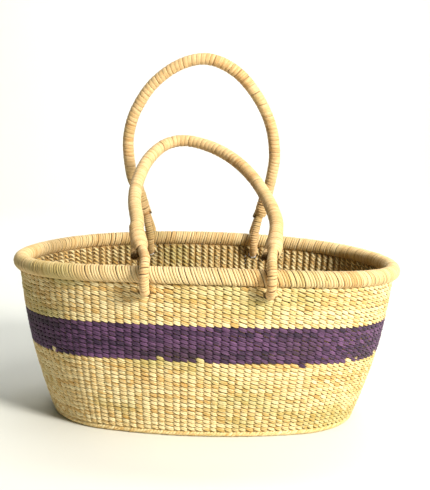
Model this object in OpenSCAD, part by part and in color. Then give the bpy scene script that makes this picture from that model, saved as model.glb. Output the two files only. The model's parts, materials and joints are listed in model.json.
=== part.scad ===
// Oval market basket of twined grass, with a rolled rim and two bail handles.
// Z is up, the base stands on z = 0, the long side lies along X and the front is at -Y.

/* [Rim] */
// Length over the rim, end to end
rim_length = 476; // [440:2:520]
// Width over the rim, front to back
rim_width = 320; // [300:5:340]
// Radius of the oval's two rounded ends, at the outside of the rim
rim_end_radius = 148; // [135:1:149]
// Thickness of the wrapped rim roll
rim_roll_d = 18.6; // [16:0.2:21]
// Thickness of the bundle inside the rim roll
rim_core_d = 11; // [8:0.2:13]
// How far the rim dips at both ends of the oval, below its middle
rim_dip = 10; // [0:1:16]

/* [Body] */
// Height from the ground to the top of the rim, at its middle
body_h = 205; // [180:1:230]
// How far inside the rim the wall's foot stands, all round
foot_inset = 50; // [35:1:60]
// How far inside the rim the wall's top stands, all round
top_inset = 7; // [6:0.5:8]
// How far the wall bellies out at mid height
wall_belly = 7; // [0:0.5:12]
// Thickness of the twined wall
wall_t = 7; // [6:0.5:8]
// Height at which the coloured band starts
band_low = 96; // [70:1:110]
// Height at which the coloured band ends
band_high = 139; // [120:1:160]

/* [Base] */
// Thickness of the twined base
base_t = 7; // [6:0.5:8]
// Height of the twisted row round the foot of the wall
foot_row_h = 9; // [8.5:0.5:11]
// Width of the twisted row
foot_row_w = 9; // [8.5:0.5:10]

/* [Stakes] */
// Thickness of one stake
stake_d = 3; // [2:0.2:3.4]
// Stakes round each end of the oval
end_stakes = 38; // [20:1:40]
// Stakes along each long side
side_stakes_each = 28; // [14:1:30]
// Distance between the stakes that cross the base
cross_pitch = 11; // [9:1:16]

/* [Handles] */
// Thickness of a handle's wrapped shank
shank_d = 15.6; // [13:0.2:16]
// Thickness of the bundle inside the shank
shank_core_d = 9; // [6:0.5:9]
// Thickness of the strand that loops round the rim
strand_d = 12; // [9:0.2:12]
// Radius of the loop, at the middle of its strand
eye_r = 18.7; // [18.4:0.1:19]
// Thickness of the binding over the splice
splice_d = 19; // [18.4:0.2:20]
// Height of the shank's lower end above the rim's centre, along the handle
shank_start = 46; // [44:1:50]
// Height of the splice binding's top above the rim's centre, along the handle
splice_top = 72; // [66:1:80]
// Lean of the front handle, towards the middle of the basket
front_lean = 56; // [40:1:60]
// Lean of the back handle, towards the middle of the basket
back_lean = 10; // [0:1:20]

/* [Hidden] */

$fn = 32;
fit_gap = 0.1;        // between pieces that lie inside each other
rim_r = rim_roll_d/2;
half_l = rim_length/2;
half_w = rim_width/2;
rim_z = body_h - rim_r;

// The rim's outside is a four-centre oval: two end arcs about (+-end_x, 0) and
// two flat side arcs about (0, +-side_y), all tangent where they meet.
end_x = half_l - rim_end_radius;
width_step = half_w - rim_end_radius;
side_y = (end_x*end_x - width_step*width_step)/(2*width_step);
side_radius = half_w + side_y;
join_angle = atan2(side_y, end_x);

// Direction and centre at a place round the oval: arc 0 and 2 are the ends, 1 and 3 the sides
function arc_span(arc) = arc % 2 == 0 ? 2*join_angle : 180 - 2*join_angle;
function arc_start(arc) = [-join_angle, join_angle, 180 - join_angle, 180 + join_angle][arc];
function arc_centre(arc) = [[end_x, 0], [0, -side_y], [-end_x, 0], [0, side_y]][arc];
function arc_radius(arc) = arc % 2 == 0 ? rim_end_radius : side_radius;
function oval_at(arc, angle, inset) =
  arc_centre(arc) + (arc_radius(arc) - inset)*[cos(angle), sin(angle)];

// Stations round the oval, as [arc, angle]
end_steps = 24;
side_steps = 16;
stations = [
  for (arc = [0:3])
    let (steps = arc % 2 == 0 ? end_steps : side_steps)
      for (i = [0:steps - 1]) [arc, arc_start(arc) + arc_span(arc)*i/steps]
];

// The whole body follows the rim's dip, less and less towards the ground
function dipped(p, z) = z*(1 - rim_dip/body_h*pow(p[0]/half_l, 2));

// Inset of the wall's outer face at a height
function wall_inset(z) =
  let (t = z/rim_z) foot_inset*(1 - t) + top_inset*t - wall_belly*sin(180*t);

// Sweeps a closed outline of [inset, height] points round the oval
module oval_sweep(outline) {
  n = len(stations);
  m = len(outline);
  points = [
    for (s = stations) for (q = outline)
      let (p = oval_at(s[0], s[1], q[0])) [p[0], p[1], dipped(p, q[1])]
  ];
  faces = [
    for (i = [0:n - 1]) for (j = [0:m - 1])
      let (a = i*m + j, b = i*m + (j + 1) % m, c = (i + 1) % n*m + j, d = (i + 1) % n*m + (j + 1) % m)
        each [[a, b, d], [a, d, c]]
  ];
  polyhedron(points = points, faces = faces, convexity = 6);
}

// Outline of a stretch of the wall
wall_levels = 4;
function wall_outline(low, high) = [
  for (i = [0:wall_levels]) let (z = low + (high - low)*i/wall_levels) [wall_inset(z), z],
  for (i = [wall_levels:-1:0]) let (z = low + (high - low)*i/wall_levels) [wall_inset(z) + wall_t, z]
];

// Round outline of the rim roll, resting flat on the wall's top
rim_sides = 14;
function rim_outline(r) = [
  for (i = [0:rim_sides - 1])
    let (a = -360*i/rim_sides) [rim_r + r*cos(a), rim_z + r*sin(a)]
];
wall_top = rim_z - rim_r*cos(180/rim_sides);

// Outline of the base, inset all round
module base_outline(inset) polygon([for (s = stations) oval_at(s[0], s[1], inset)]);

base_edge = foot_inset - 2 + foot_row_w;

module base_weave() color("Khaki") linear_extrude(base_t) base_outline(base_edge);

function oval_half_width(x) = sqrt(side_radius*side_radius - x*x) - side_y;

// Straight stakes cross the middle of the base, and fan out at its two ends
fan_start = 18;
fan_step = 12.5;
module base_stakes() color("DarkKhaki") {
  for (x = [-8*cross_pitch:cross_pitch:8*cross_pitch])
    let (half = oval_half_width(x) - base_edge + foot_row_w/2)
      translate([x, -half, base_t/2]) rotate([-90, 0, 0]) cylinder(d = stake_d, h = 2*half);
  for (side = [0, 1]) mirror([side, 0, 0])
    for (a = [-6:6]) translate([end_x, 0, base_t/2]) rotate([0, 90, a*fan_step])
      translate([0, 0, fan_start])
        cylinder(d = stake_d, h = rim_end_radius - base_edge + foot_row_w/2 - fan_start);
}

// Twisted row round the corner between base and wall
foot_row_lift = 0.6;
foot_row_edge = 2.5;
module foot_row() color("Peru") oval_sweep([
  [base_edge, foot_row_lift],
  [base_edge - foot_row_w + foot_row_edge, foot_row_lift],
  [base_edge - foot_row_w, foot_row_lift + foot_row_edge],
  [base_edge - foot_row_w, foot_row_h - foot_row_edge],
  [wall_inset(foot_row_h), foot_row_h],
  [base_edge, foot_row_h]
]);

module lower_weave() color("Khaki") oval_sweep(wall_outline(foot_row_h, band_low));
module purple_band() color("Indigo") oval_sweep(wall_outline(band_low, band_high));
module upper_weave() color("Khaki") difference() {
  oval_sweep(wall_outline(band_high, wall_top));
  for (x = front_eyes) eye_hole(x, -1);
  for (x = back_eyes) eye_hole(x, 1);
}

// A stake is an arc inside the wall, from the foot row up to the rim
stake_foot = [wall_inset(foot_row_h/2), foot_row_h/2];
stake_head = [wall_inset(wall_top), wall_top];
stake_mid = (stake_foot[1] + stake_head[1])/2;
stake_chord = norm(stake_head - stake_foot);
stake_slope = atan2(stake_foot[0] - stake_head[0], stake_head[1] - stake_foot[1]);
stake_belly = ((stake_foot[0] + stake_head[0])/2 - wall_inset(stake_mid))*cos(stake_slope);
stake_arc_r = (pow(stake_chord/2, 2) + pow(stake_belly, 2))/(2*stake_belly);
stake_arc = 2*asin(stake_chord/2/stake_arc_r);
module stake(arc, angle) {
  foot = oval_at(arc, angle, stake_foot[0] + wall_t/2);
  head = oval_at(arc, angle, stake_head[0] + wall_t/2);
  keep = (dipped(head, wall_top) - stake_foot[1])/(stake_head[1] - stake_foot[1]);
  translate([foot[0], foot[1], stake_foot[1]]) rotate([0, 0, angle])
    rotate([0, stake_slope + stake_arc/2, 0]) translate([-stake_arc_r, 0, 0])
      rotate([90, 0, 0]) mirror([0, 0, 1])
        rotate_extrude(angle = stake_arc*keep) translate([stake_arc_r, 0]) circle(d = stake_d);
}
// On the long sides, the loops push the nearest stakes apart and pass between them
function pushed(x, eye) = eye + sign(x - eye)*norm([x - eye, parting]);
function beside(x, eyes) = pushed(pushed(x, eyes[0]), eyes[1]);
function stake_angle(arc, angle) =
  arc % 2 == 0 ? angle :
  arc == 1 ? acos(beside(loop_arc_r*cos(angle), back_eyes)/loop_arc_r) :
  360 - acos(beside(loop_arc_r*cos(angle), front_eyes)/loop_arc_r);
module side_stakes() color("DarkKhaki")
  for (arc = [0:3])
    let (count = arc % 2 == 0 ? end_stakes : side_stakes_each)
      for (i = [0:count - 1])
        stake(arc, stake_angle(arc, arc_start(arc) + arc_span(arc)*(i + 0.5)/count));

module rim_core() color("Goldenrod") oval_sweep(rim_outline(rim_core_d/2 - fit_gap));
module rim_binding() color("Wheat") oval_tube(rim_r, rim_core_d/2);

// Closed hollow roll round the oval
module oval_tube(r_out, r_in) difference() {
  oval_sweep(rim_outline(r_out));
  oval_sweep(rim_outline(r_in));
}

// Handles. Each one swings about a line along X through the middle of the rim roll.
// Its own frame has that line at z = 0 and the handle standing up in the XZ plane.
hinge_y = 145.8;
front_eyes = [-66, 69];    // where the loops sit along the rim
back_eyes = [-81, 64];
front_splay = [-12, 6.5];  // lean of each shank's foot, to the side
back_splay = [-15, 13];
eye_free = 65;             // half of the loop's open part, towards the shank
strand_r = strand_d/2;
leg_r = [strand_r + 0.2, strand_r + 0.4];  // the two legs of a loop, outer and inner
knuckle = 0.4;             // a leg's rounded foot is this much thicker
splice_low = 40;           // middle of the splice binding's rounded lower end
hole_r = strand_r + 2.3;
hole_lift = 0.7;           // of the hole above the bottom of the loop's ring
hinge_z = dipped([(back_eyes[1] - back_eyes[0])/2, 0], rim_z);
parting = 9.4;             // least distance from a loop's middle to a stake's middle
loop_arc_r = side_radius - wall_inset(hinge_z - eye_r) - wall_t/2;

// Route of each shank over its crown, from the left splice to the right one
front_crown = [
  [-82, 88], [-88, 122], [-88, 158], [-79, 204], [-60, 238], [-34, 250], [-2, 239],
  [28, 214], [52, 178], [69, 136], [78, 98]
];
back_crown = [
  [-108, 88], [-113, 122], [-112, 150], [-102, 182], [-79, 217], [-44, 243], [-6, 251],
  [32, 235], [62, 202], [81, 164], [88, 124], [85, 92]
];
function foot_point(x, splay, h) = [x + h*tan(splay), h];
function route(eyes, splays, crown) = [
  foot_point(eyes[0], splays[0], shank_start), foot_point(eyes[0], splays[0], splice_top),
  each crown,
  foot_point(eyes[1], splays[1], splice_top), foot_point(eyes[1], splays[1], shank_start)
];

// Smooth curve through a route's points, with a few steps between each pair
curve_steps = 3;
function curve_point(p0, p1, p2, p3, t) =
  0.5*((2*p1) + (p2 - p0)*t + (2*p0 - 5*p1 + 4*p2 - p3)*t*t + (3*p1 - p0 - 3*p2 + p3)*t*t*t);
function smooth(points) =
  let (n = len(points), before = 2*points[0] - points[1], after = 2*points[n - 1] - points[n - 2]) [
    for (i = [0:n - 2])
      for (k = [0:curve_steps - 1])
        curve_point(
          i == 0 ? before : points[i - 1], points[i], points[i + 1],
          i == n - 2 ? after : points[i + 2], k/curve_steps
        ),
    points[n - 1]
  ];

// Rings of points round a curve in the XZ plane
shank_sides = 10;
function shank_rings(path, r) = let (n = len(path)) [
  for (i = [0:n - 1])
    let (d = path[min(i + 1, n - 1)] - path[max(i - 1, 0)], across = [d[1], -d[0]]/norm(d))
      for (j = [0:shank_sides - 1])
        let (a = 360*(j + 0.5)/shank_sides)
          [path[i][0] + across[0]*r*cos(a), r*sin(a), path[i][1] + across[1]*r*cos(a)]
];
// Skin over rings that start at point number first, facing out or, turned, facing in
function skin(rings, first, turned) = [
  for (i = [0:rings - 2]) for (j = [0:shank_sides - 1])
    let (
      k = (j + 1) % shank_sides, a = first + i*shank_sides + j, b = first + i*shank_sides + k,
      c = a + shank_sides, d = b + shank_sides
    )
      each turned ? [[a, d, c], [a, b, d]] : [[a, c, d], [a, d, b]]
];
module shank_rod(path, r) {
  n = len(path);
  m = shank_sides;
  ends = [[for (j = [0:m - 1]) j], [for (j = [m - 1:-1:0]) (n - 1)*m + j]];
  polyhedron(points = shank_rings(path, r), faces = [each ends, each skin(n, 0, false)], convexity = 6);
}
module shank_tube(path, r_out, r_in) {
  n = len(path);
  m = shank_sides;
  ends = [
    for (j = [0:m - 1])
      let (k = (j + 1) % m, last = (n - 1)*m)
        each [
          [j, k, n*m + k], [j, n*m + k, n*m + j],
          [last + j, n*m + last + k, last + k], [last + j, n*m + last + j, n*m + last + k]
        ]
  ];
  polyhedron(
    points = [each shank_rings(path, r_out), each shank_rings(path, r_in)],
    faces = [each ends, each skin(n, 0, false), each skin(n, n*m, true)], convexity = 6
  );
}

// Puts a handle's own frame on the basket: side is -1 at the front and 1 at the back
module on_rim(side, lean) translate([0, side*hinge_y, hinge_z]) rotate([side*lean, 0, 0]) children();

module shank_core(path) color("Goldenrod") shank_rod(path, shank_core_d/2 - fit_gap);
module shank_wrap(path) color("Wheat") shank_tube(path, shank_d/2, shank_core_d/2);

// Loop round the rim: most of a ring about the hinge, and two legs that run up to the splice
module leg(side, splay, extra) {
  foot = [0, side*eye_r*sin(eye_free), eye_r*cos(eye_free)];
  reach = (shank_start - fit_gap)/cos(splay)*1.5;
  r = leg_r[side > 0 ? 1 : 0] + extra;
  translate(foot) sphere(r = r + knuckle);
  translate(foot) rotate([0, splay, 0]) rotate([side*(90 - eye_free), 0, 0])
    cylinder(r = r, h = reach);
}
module below_shank(x, splay, h) translate([x, 0, 0]) rotate([0, splay, 0])
  translate([-50, -50, h/cos(splay) - 100]) cube([100, 100, 100]);
module eye(x, splay) color("BurlyWood") intersection() {
  union() {
    translate([x, 0, 0]) rotate([0, -90, 0]) rotate([0, 0, eye_free])
      rotate_extrude(angle = 360 - 2*eye_free) translate([eye_r, 0]) circle(r = strand_r);
    for (side = [-1, 1]) translate([x, 0, 0]) leg(side, splay, 0);
  }
  below_shank(x, splay, shank_start - fit_gap);
}
module splice(x, splay) color("Tan") translate([x, 0, 0]) difference() {
  rotate([0, splay, 0]) {
    translate([0, 0, splice_low]) cylinder(d = splice_d, h = splice_top/cos(splay) - splice_low);
    translate([0, 0, splice_low]) sphere(d = splice_d);
  }
  for (side = [-1, 1]) leg(side, splay, fit_gap);
  rotate([0, splay, 0]) translate([0, 0, (shank_start - fit_gap)/cos(splay)])
    cylinder(d = shank_d + 2*fit_gap, h = splice_top);
}
module eye_hole(x, side) translate([x, side*hinge_y, hinge_z - eye_r + hole_lift]) rotate([90, 0, 0])
  cylinder(r = hole_r, h = 80, center = true);

front_path = smooth(route(front_eyes, front_splay, front_crown));
back_path = smooth(route(back_eyes, back_splay, back_crown));

module front_shank_core() on_rim(-1, front_lean) shank_core(front_path);
module front_shank_wrap() on_rim(-1, front_lean) shank_wrap(front_path);
module front_left_eye() on_rim(-1, front_lean) eye(front_eyes[0], front_splay[0]);
module front_right_eye() on_rim(-1, front_lean) eye(front_eyes[1], front_splay[1]);
module front_left_splice() on_rim(-1, front_lean) splice(front_eyes[0], front_splay[0]);
module front_right_splice() on_rim(-1, front_lean) splice(front_eyes[1], front_splay[1]);
module back_shank_core() on_rim(1, back_lean) shank_core(back_path);
module back_shank_wrap() on_rim(1, back_lean) shank_wrap(back_path);
module back_left_eye() on_rim(1, back_lean) eye(back_eyes[0], back_splay[0]);
module back_right_eye() on_rim(1, back_lean) eye(back_eyes[1], back_splay[1]);
module back_left_splice() on_rim(1, back_lean) splice(back_eyes[0], back_splay[0]);
module back_right_splice() on_rim(1, back_lean) splice(back_eyes[1], back_splay[1]);

base_weave();
base_stakes();
foot_row();
side_stakes();
lower_weave();
purple_band();
upper_weave();
rim_core();
rim_binding();
front_shank_core();
front_shank_wrap();
front_left_eye();
front_right_eye();
front_left_splice();
front_right_splice();
back_shank_core();
back_shank_wrap();
back_left_eye();
back_right_eye();
back_left_splice();
back_right_splice();
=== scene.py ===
# %% [markdown]
# # A twined grass market basket
#
# This lesson dresses a working model of an oval market basket, which has every piece in its place and says
# how the two handles swing. Nearly every plain solid is replaced by what a maker's hands leave behind:
# pairs of grass strands twisted round upright stakes, and a rim and handles wound with flattened grass.
# Where the rim, the bands and the hinges lie is read from the working model. Its other sizes are repeated
# here by name.

# %% Load the working model
import json
import math

import bmesh
import bpy
import numpy as np
from mathutils import Matrix, Vector


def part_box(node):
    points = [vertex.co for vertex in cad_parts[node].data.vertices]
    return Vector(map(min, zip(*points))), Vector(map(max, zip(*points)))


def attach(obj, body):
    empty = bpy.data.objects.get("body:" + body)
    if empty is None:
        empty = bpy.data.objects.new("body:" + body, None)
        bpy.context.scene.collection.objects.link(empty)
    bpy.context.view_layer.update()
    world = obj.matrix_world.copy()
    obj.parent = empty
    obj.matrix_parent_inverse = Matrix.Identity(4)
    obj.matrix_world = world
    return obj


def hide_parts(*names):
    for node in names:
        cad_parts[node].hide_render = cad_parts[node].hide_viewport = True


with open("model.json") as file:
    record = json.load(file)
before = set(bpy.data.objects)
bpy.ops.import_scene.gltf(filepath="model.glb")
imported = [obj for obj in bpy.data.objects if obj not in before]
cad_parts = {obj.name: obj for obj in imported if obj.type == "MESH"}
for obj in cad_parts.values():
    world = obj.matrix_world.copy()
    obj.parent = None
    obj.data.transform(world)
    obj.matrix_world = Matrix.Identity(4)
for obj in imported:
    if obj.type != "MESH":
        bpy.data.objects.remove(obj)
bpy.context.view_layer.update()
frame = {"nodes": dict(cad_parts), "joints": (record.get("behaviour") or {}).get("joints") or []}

MM = 0.001

# %% [markdown]
# ## The view
#
# The camera stands a good metre in front of the basket, a little above the rim, and is rolled slightly to
# one side as a hand-held camera is. It could be aimed with a constraint, but a matrix built from named
# angles keeps the lens free of shift and shows exactly what was chosen.

# %% Place the camera
AIM = Vector((-0.0021, 0, 0.100))
DISTANCE = 1.0485
ELEVATION = math.radians(14.12)
HEADING = math.radians(0.20)
TURNED = math.radians(-0.62)
TILTED = math.radians(-5.84)
ROLLED = math.radians(1.76)
LENS = 60.56


def facing(heading, pitch):
    """A level direction of view, tipped down by pitch."""
    flat = math.cos(pitch)
    return Vector((-math.sin(heading) * flat, math.cos(heading) * flat, -math.sin(pitch)))


eye_point = AIM - DISTANCE * facing(HEADING, ELEVATION)
ahead = facing(HEADING + TURNED, ELEVATION + TILTED)
level = ahead.cross(Vector((0, 0, 1))).normalized()
upward = level.cross(ahead)
right = level * math.cos(ROLLED) + upward * math.sin(ROLLED)
top = upward * math.cos(ROLLED) - level * math.sin(ROLLED)

camera = bpy.data.objects.new("camera", bpy.data.cameras.new("camera"))
camera.data.lens = LENS
camera.data.sensor_width = 36
camera.data.clip_end = 20
camera.matrix_world = Matrix.Translation(eye_point) @ Matrix((right, top, -ahead)).transposed().to_4x4()
bpy.context.scene.collection.objects.link(camera)
bpy.context.scene.camera = camera
print("camera at", [round(v, 3) for v in eye_point])

# %% [markdown]
# ## Floor and light
#
# A big pale sheet of paper rises in a curve behind the basket: its side view is drawn and pulled out
# sideways. The main soft box stands on the right and in front, so the left end of the basket falls into
# shade, and a dim greenish world fills the rest. One box is aimed at the paper behind. The plain "Standard"
# view keeps straw yellow, where a filmic view would wash it out.

# %% Build the stage
SWEEP_AT, SWEEP_R, BEND_STEPS = 2.2, 1.6, 16
NEAR_EDGE, HALF_PAPER, PAPER_TOP = -5, 7, SWEEP_R + 5

bend = [math.pi / 2 * k / BEND_STEPS for k in range(BEND_STEPS + 1)]
side_view = [(SWEEP_AT + SWEEP_R * math.sin(a), SWEEP_R * (1 - math.cos(a))) for a in bend]
side_view = [(NEAR_EDGE, 0), *side_view, (SWEEP_AT + SWEEP_R, PAPER_TOP)]
sheet = bmesh.new()
verts = [sheet.verts.new((-HALF_PAPER, y, z)) for y, z in side_view]
edges = [sheet.edges.new(pair) for pair in zip(verts, verts[1:])]
grown = bmesh.ops.extrude_edge_only(sheet, edges=edges)["geom"]
far_side = [v for v in grown if isinstance(v, bmesh.types.BMVert)]
bmesh.ops.translate(sheet, vec=(2 * HALF_PAPER, 0, 0), verts=far_side)
bmesh.ops.recalc_face_normals(sheet, faces=sheet.faces[:])
floor_data = bpy.data.meshes.new("paper_sweep")
sheet.to_mesh(floor_data)
sheet.free()
floor_data.polygons.foreach_set("use_smooth", [True] * len(floor_data.polygons))
floor = bpy.data.objects.new("paper_sweep", floor_data)
bpy.context.scene.collection.objects.link(floor)

paper = bpy.data.materials.new("pale_paper")
paper.use_nodes = True
paper_shader = paper.node_tree.nodes["Principled BSDF"]
paper_shader.inputs["Base Color"].default_value = (0.78, 0.79, 0.75, 1)
paper_shader.inputs["Roughness"].default_value = 0.9
floor_data.materials.append(paper)

world = bpy.data.worlds.new("pale_room")
world.use_nodes = True
sky = world.node_tree.nodes["Background"].inputs
sky["Color"].default_value = (0.92, 1.0, 0.80, 1)
sky["Strength"].default_value = 0.09
bpy.context.scene.world = world
bpy.context.scene.view_settings.view_transform = "Standard"


def soft_box(name, place, size, watts, tint, aim=AIM):
    """A square area light, aimed at the middle of the basket unless another point is given."""
    light = bpy.data.lights.new(name, "AREA")
    light.size = size
    light.energy = watts
    light.color = tint
    lamp = bpy.data.objects.new(name, light)
    lamp.location = place
    lamp.rotation_euler = (Vector(aim) - Vector(place)).to_track_quat("-Z", "Y").to_euler()
    bpy.context.scene.collection.objects.link(lamp)


soft_box("sun_window", (1.84, -1.81, 1.5), 0.7, 134, (1.0, 0.96, 0.88))
soft_box("high_fill", (0.9, -0.8, 2.4), 1.2, 22, (1.0, 0.97, 0.92))
soft_box("back_fill", (1.5, 1.6, 1.4), 1.4, 6, (1.0, 0.98, 0.95))
soft_box("paper_light", (0, 1.2, 3.2), 2.4, 120, (1.0, 1.0, 1.0), aim=(0, 3.6, 1.4))
print("stage and four lights")

# %% [markdown]
# ## The basket's form
#
# Seen from above, the basket is an oval made of four arcs, as a maker who works round a row of stakes gets
# it: two tight ends and two nearly straight sides. A place on the oval is counted in stakes, because the
# weave repeats once for each stake. Moving the arcs inwards gives every smaller oval, down to the foot. The
# rim of the real thing dips towards its two ends, and the whole wall follows it.

# %% Measure the oval
rim_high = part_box("rim_binding")[1]
ROLL_R = 9.3 * MM
END_R = 148 * MM
FOOT_INSET, TOP_INSET = 50 * MM, 7 * MM
BELLY = 7 * MM
WALL_T = 7 * MM
DIP = 10 * MM
HALF_L, HALF_W = rim_high[0], rim_high[1]
RIM_SIDES = 14
rim_z = rim_high[2] - ROLL_R * math.cos(math.pi / RIM_SIDES)
body_h = rim_z + ROLL_R

END_STAKES, SIDE_STAKES = 38, 28
STAKES = 2 * (END_STAKES + SIDE_STAKES)

end_x = HALF_L - END_R
step = HALF_W - END_R
side_y = (end_x**2 - step**2) / (2 * step)
SIDE_R = HALF_W + side_y
join = math.atan2(side_y, end_x)

ARC_COUNT = np.array([END_STAKES, SIDE_STAKES, END_STAKES, SIDE_STAKES])
ARC_FIRST = np.array([0, END_STAKES, END_STAKES + SIDE_STAKES, 2 * END_STAKES + SIDE_STAKES])
ARC_BEGIN = np.array([-join, join, math.pi - join, math.pi + join])
ARC_SPAN = np.array([2 * join, math.pi - 2 * join, 2 * join, math.pi - 2 * join])
ARC_MIDDLE = np.array([[end_x, 0], [0, -side_y], [-end_x, 0], [0, side_y]])
ARC_RADIUS = np.array([END_R, SIDE_R, END_R, SIDE_R])


def oval(t, inset):
    """Points of the oval at t, counted in stakes and moved in by inset, and the directions out of it."""
    t = np.asarray(t, float) % STAKES
    arc = np.searchsorted(ARC_FIRST, t, side="right") - 1
    angle = ARC_BEGIN[arc] + ARC_SPAN[arc] * (t - ARC_FIRST[arc]) / ARC_COUNT[arc]
    out = np.stack([np.cos(angle), np.sin(angle)], -1)
    return ARC_MIDDLE[arc] + (ARC_RADIUS[arc] - inset)[..., None] * out, out


def dipped(xy, z):
    """Heights z, lowered towards the two ends as the rim is."""
    return z * (1 - DIP / body_h * (xy[..., 0] / HALF_L) ** 2)


def wall_inset(z):
    """How far inside the rim's outline the wall's outer face stands at a height."""
    share = z / rim_z
    return FOOT_INSET * (1 - share) + TOP_INSET * share - BELLY * np.sin(math.pi * share)


def wall_lean(z):
    """Angle of the wall from upright at a height: it leans out as it rises."""
    falls = (FOOT_INSET - TOP_INSET + BELLY * math.pi * np.cos(math.pi * z / rim_z)) / rim_z
    return np.arctan(falls)


print("stakes:", STAKES, " rim:", round(2 * HALF_L, 3), "x", round(2 * HALF_W, 3), "at", round(rim_z, 4))

# %% [markdown]
# ## Room for the loops
#
# Each handle hangs on two loops that pass through the wall just under the rim. On a real basket the maker
# parts the rows with a pointed tool and never cuts them. So every strand and stake is built as if there
# were no hole, and is then pushed aside: a point close to a hole's middle moves to its edge, and one
# further off hardly moves.

# %% Find the loops and part the weave round them
joints = {j["name"]: j for j in frame["joints"]}
EYE_R = 18.7 * MM
PARTED, TINY = 7.3 * MM, 1e-6
FRONT_X = (-66 * MM, 69 * MM)
BACK_X = (-81 * MM, 64 * MM)
HOLES = []
for name, side, places in (("front", -1, FRONT_X), ("back", 1, BACK_X)):
    hinge_z = joints[name + "_handle_swing"]["pos_m"][2]
    HOLES += [(x, side, hinge_z - EYE_R) for x in places]


def parted(points):
    """The points, pushed aside round each of the four holes. A hole runs along Y, under the rim."""
    points = points.copy()
    for x, side, z in HOLES:
        near = points[..., 1] * side > 0.5 * HALF_W
        dx, dz = points[..., 0] - x, points[..., 2] - z
        away = np.sqrt(dx**2 + dz**2) + TINY
        push = np.where(near, ((away**3 + PARTED**3) ** (1 / 3)) / away, 1.0)
        points[..., 0] = x + dx * push
        points[..., 2] = z + dz * push
    return points


print("loops at x =", [round(x, 4) for x, _, _ in HOLES])

# %% [markdown]
# ## Dry grass
#
# All of the basket is dried grass, split and twisted. Up close it is fine fibres that run along the strand,
# some bright, some golden, some greenish. The dark line where a strand dives under the next is painted
# shade. One node group makes all that for every piece. It reads two attributes of the meshes, so the
# fibres and the painted shade follow each strand wherever it bends, and it gives back a colour, a height
# for the bump and a roughness. Repeated image textures would be quicker, but they would stretch where a
# strand swells.

# %% Build the shared grass group
def add_node(tree, kind, **settings):
    """A new node with some of its settings."""
    node = tree.nodes.new(kind)
    for key, value in settings.items():
        setattr(node, key, value)
    return node


def feed(tree, socket, value):
    """Links an input to another socket, or sets its own value."""
    if isinstance(value, bpy.types.NodeSocket):
        tree.links.new(value, socket)
    else:
        socket.default_value = value


def maths(tree, operation, first, second):
    """A Math node. Each input is a socket or a number."""
    node = add_node(tree, "ShaderNodeMath", operation=operation)
    feed(tree, node.inputs[0], first)
    feed(tree, node.inputs[1], second)
    return node.outputs[0]


def mixed(tree, share, first, second):
    """A colour mix. Each input is a socket or a colour."""
    node = add_node(tree, "ShaderNodeMix", data_type="RGBA", clamp_factor=True)
    for name, value in (("Factor", share), (6, first), (7, second)):
        feed(tree, node.inputs[name], value)
    return node.outputs[2]


def stepped(tree, value, low, high):
    """Maps a value from low..high to 0..1 with soft ends."""
    node = add_node(tree, "ShaderNodeMapRange", interpolation_type="SMOOTHSTEP")
    for name, given in (("Value", value), ("From Min", low), ("From Max", high)):
        feed(tree, node.inputs[name], given)
    return node.outputs["Result"]


def noise(tree, vector, stretch, detail=2.0, rough=0.6):
    """Noise with its own scale along each axis."""
    mapping = add_node(tree, "ShaderNodeMapping")
    feed(tree, mapping.inputs["Scale"], stretch)
    feed(tree, mapping.inputs["Vector"], vector)
    made = add_node(tree, "ShaderNodeTexNoise")
    feed(tree, made.inputs["Vector"], mapping.outputs[0])
    for name, given in (("Scale", 1.0), ("Detail", detail), ("Roughness", rough)):
        feed(tree, made.inputs[name], given)
    return made.outputs["Fac"]


def strand_facts(tree):
    """Tone, dye and painted shade of a strand, as the meshes keep them."""
    kept = add_node(tree, "ShaderNodeAttribute", attribute_name="strand")
    apart = add_node(tree, "ShaderNodeSeparateXYZ")
    feed(tree, apart.inputs[0], kept.outputs["Vector"])
    return apart.outputs


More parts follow.
